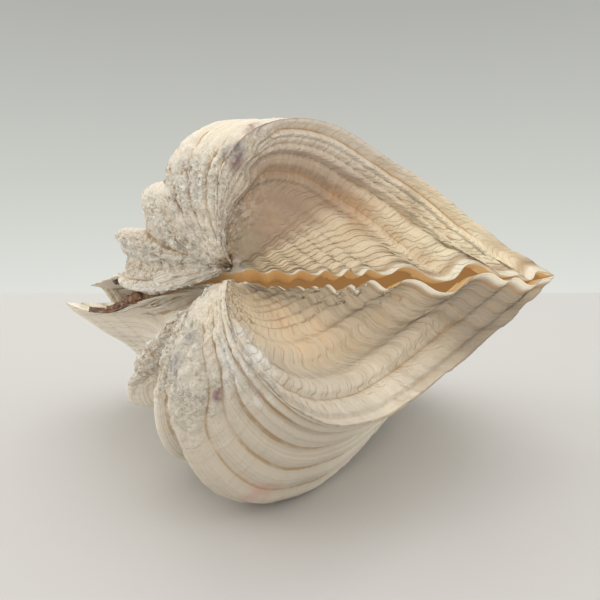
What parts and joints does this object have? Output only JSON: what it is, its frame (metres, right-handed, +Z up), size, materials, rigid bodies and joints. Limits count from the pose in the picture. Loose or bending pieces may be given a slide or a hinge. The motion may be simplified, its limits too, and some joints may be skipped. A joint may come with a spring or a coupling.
{
  "type": "clam shell",
  "caption": "Closed two-valve clam shell with a flat heart-shaped front face, deep rounded radial folds and toothed edges, lying on its right valve; a natural display object",
  "frame": {"origin": "Middle of the bounding box in X and Y, at the height of the surface on which the shell rests", "axes": "+X runs from the hinge end to the pointed front tip, to the right in the picture; +Y runs away from the camera, from the flat front face to the free edges; +Z is up"},
  "size_m": [0.1786, 0.1496, 0.1098],
  "materials": {
    "left_shell": "matt, chalky",
    "right_shell": "matt, chalky",
    "strip_ligament": "dry, flaky",
    "scrap_ligament": "dry, flaky"
  },
  "bodies": {
    "root": {"left_valve": "left_shell", "right_valve": "right_shell", "ligament_strip": "strip_ligament", "ligament_scrap": "scrap_ligament"}
  },
  "joints": []
}
